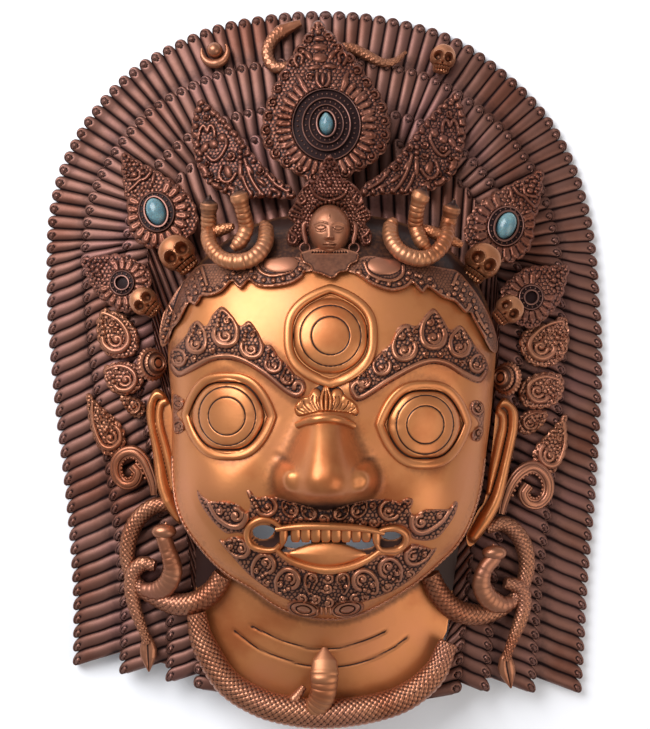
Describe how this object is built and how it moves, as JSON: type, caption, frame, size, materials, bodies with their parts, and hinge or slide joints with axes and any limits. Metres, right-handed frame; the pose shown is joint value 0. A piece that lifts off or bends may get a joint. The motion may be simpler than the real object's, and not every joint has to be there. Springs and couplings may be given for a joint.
{
  "type": "ceremonial mask",
  "caption": "Wrathful ceremonial mask of hammered copper: a fanged face before a plate of combed hair, crowned with leaves, skulls and hooded snakes.",
  "frame": {"origin": "under the middle of the whole mask, on the plane that the plate's rim lies on", "axes": "+X to the viewer's right, +Y towards the top of the head, +Z out of the face"},
  "size_m": [0.4024, 0.5028, 0.1422],
  "materials": {
    "copper_face": "rubbed copper sheet, satin, worn by handling",
    "copper_gold": "cast and chased copper, rubbed bright",
    "copper_brown": "chased copper with dark recesses",
    "copper_red": "embossed copper with a red-brown patina",
    "copper_dark": "hammered copper, dark brown patina",
    "turquoise": "polished turquoise with brown veins"
  },
  "bodies": {
    "root": {"hair_halo": "copper_dark", "head_shell": "copper_face", "neck_collar": "copper_face", "neck_snake": "copper_brown", "leaf_center": "copper_red", "center_bezel": "copper_dark", "center_stone": "turquoise", "plume_leaf_left": "copper_red", "plume_leaf_right": "copper_red", "side_leaf_left": "copper_red", "side_leaf_right": "copper_red", "side_bezel_left": "copper_dark", "side_bezel_right": "copper_dark", "side_stone_left": "turquoise", "side_stone_right": "turquoise", "ring_leaf_left": "copper_red", "ring_leaf_right": "copper_red", "ring_bezel_left": "copper_dark", "ring_bezel_right": "copper_dark", "crown_band": "copper_dark", "crest_head": "copper_red", "crown_cobras_left": "copper_gold", "crown_cobras_right": "copper_gold", "skull_upper_left": "copper_gold", "skull_lower_left": "copper_gold", "skull_upper_right": "copper_gold", "skull_lower_right": "copper_gold", "halo_skull": "copper_gold", "moon_and_sun": "copper_brown", "top_snake": "copper_dark", "side_snake_left": "copper_brown", "side_snake_right": "copper_brown", "ear_left": "copper_face", "ear_right": "copper_face", "ear_flame_left": "copper_brown", "ear_flame_right": "copper_brown", "temple_scroll_left": "copper_brown", "temple_scroll_right": "copper_brown", "temple_rosette_left": "copper_brown", "temple_rosette_right": "copper_brown"}
  },
  "joints": []
}
